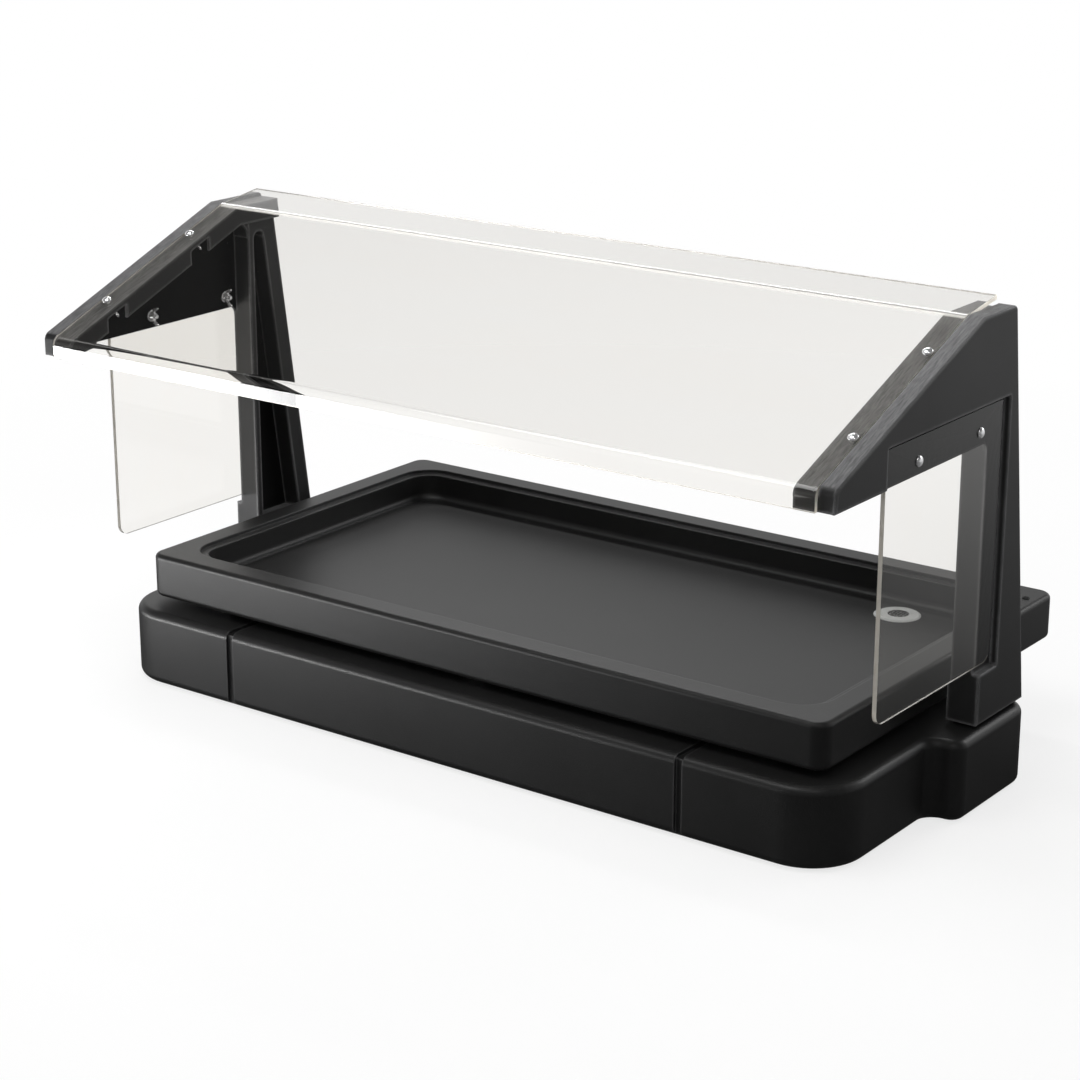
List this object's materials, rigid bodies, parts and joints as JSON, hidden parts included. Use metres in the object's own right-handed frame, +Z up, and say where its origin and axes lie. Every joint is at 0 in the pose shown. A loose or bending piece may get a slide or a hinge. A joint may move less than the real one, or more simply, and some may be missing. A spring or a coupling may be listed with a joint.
{
  "type": "buffet bar",
  "caption": "Tabletop buffet bar: a wide insulated tray on a moulded plinth, under a clear bent sneeze guard on end posts with clear side panels.",
  "frame": {"origin": "middle of the footprint, on the surface that the bar stands on", "axes": "+X along the length to the right seen from the front, front (guests' side) faces -Y, +Z up"},
  "size_m": [1.305, 0.754, 0.676],
  "materials": {
    "moulded_black": "fine moulded texture",
    "post_black": "pebbled moulded texture",
    "clear_acrylic": "clear polished sheet",
    "bright_metal": "bright plated",
    "zinc_steel": "zinc plated",
    "brass": "machined",
    "soft_rubber": "matt",
    "glide_plastic": "smooth glide",
    "foam": "rigid foam",
    "valve_plastic": "moulded"
  },
  "bodies": {
    "bar": {"plinth_shell": "moulded_black", "plinth_non_slip_pads": "soft_rubber", "guard_sheet": "clear_acrylic", "post_left": "post_black", "post_foot_pad_left": "soft_rubber", "post_bolts_left": "zinc_steel", "post_bolt_washers_left": "zinc_steel", "post_inserts_left": "brass", "side_panel_left": "clear_acrylic", "guard_screws_left": "bright_metal", "guard_washers_left": "bright_metal", "panel_screws_left": "bright_metal", "panel_washers_left": "bright_metal", "post_right": "post_black", "post_foot_pad_right": "soft_rubber", "post_bolts_right": "zinc_steel", "post_bolt_washers_right": "zinc_steel", "post_inserts_right": "brass", "side_panel_right": "clear_acrylic", "guard_screws_right": "bright_metal", "guard_washers_right": "bright_metal", "panel_screws_right": "bright_metal", "panel_washers_right": "bright_metal"},
    "tray": {"tray_shell": "moulded_black", "tray_foam_core": "foam", "tray_runners": "glide_plastic", "drain_flange": "valve_plastic", "drain_strainer": "zinc_steel", "drain_gasket": "soft_rubber", "drain_locknut": "valve_plastic", "drain_valve_body": "valve_plastic"},
    "drain_lever": {"drain_lever": "zinc_steel"},
    "guard_wing_nut_left_front": {"guard_wing_nut_left_front": "bright_metal"},
    "panel_wing_nut_left_front": {"panel_wing_nut_left_front": "bright_metal"},
    "guard_wing_nut_left_rear": {"guard_wing_nut_left_rear": "bright_metal"},
    "panel_wing_nut_left_rear": {"panel_wing_nut_left_rear": "bright_metal"},
    "guard_wing_nut_right_front": {"guard_wing_nut_right_front": "bright_metal"},
    "panel_wing_nut_right_front": {"panel_wing_nut_right_front": "bright_metal"},
    "guard_wing_nut_right_rear": {"guard_wing_nut_right_rear": "bright_metal"},
    "panel_wing_nut_right_rear": {"panel_wing_nut_right_rear": "bright_metal"}
  },
  "joints": [
    {"name": "tray_slide_out", "type": "slide", "parent": "bar", "child": "tray", "axis": [0, 1, 0], "range_m": [0, 0.45]},
    {"name": "drain_lever_turn", "type": "hinge", "parent": "tray", "child": "drain_lever", "pos_m": [0.405, 0.27, 0.084], "axis": [1, 0, 0], "range_deg": [0, 90]},
    {"name": "guard_wing_nut_left_front_turn", "type": "hinge", "parent": "bar", "child": "guard_wing_nut_left_front", "pos_m": [-0.6105, -0.27054, 0.54524], "axis": [0, -0.3675, 0.93], "continuous": true},
    {"name": "panel_wing_nut_left_front_turn", "type": "hinge", "parent": "bar", "child": "panel_wing_nut_left_front", "pos_m": [-0.6245, -0.171, 0.516], "axis": [-1, 0, 0], "continuous": true},
    {"name": "guard_wing_nut_left_rear_turn", "type": "hinge", "parent": "bar", "child": "guard_wing_nut_left_rear", "pos_m": [-0.6105, -0.09754, 0.61361], "axis": [0, -0.3675, 0.93], "continuous": true},
    {"name": "panel_wing_nut_left_rear_turn", "type": "hinge", "parent": "bar", "child": "panel_wing_nut_left_rear", "pos_m": [-0.6245, -0.014, 0.516], "axis": [-1, 0, 0], "continuous": true},
    {"name": "guard_wing_nut_right_front_turn", "type": "hinge", "parent": "bar", "child": "guard_wing_nut_right_front", "pos_m": [0.6105, -0.27054, 0.54524], "axis": [0, -0.3675, 0.93], "continuous": true},
    {"name": "panel_wing_nut_right_front_turn", "type": "hinge", "parent": "bar", "child": "panel_wing_nut_right_front", "pos_m": [0.6245, -0.171, 0.516], "axis": [1, 0, 0], "continuous": true},
    {"name": "guard_wing_nut_right_rear_turn", "type": "hinge", "parent": "bar", "child": "guard_wing_nut_right_rear", "pos_m": [0.6105, -0.09754, 0.61361], "axis": [0, -0.3675, 0.93], "continuous": true},
    {"name": "panel_wing_nut_right_rear_turn", "type": "hinge", "parent": "bar", "child": "panel_wing_nut_right_rear", "pos_m": [0.6245, -0.014, 0.516], "axis": [1, 0, 0], "continuous": true}
  ]
}
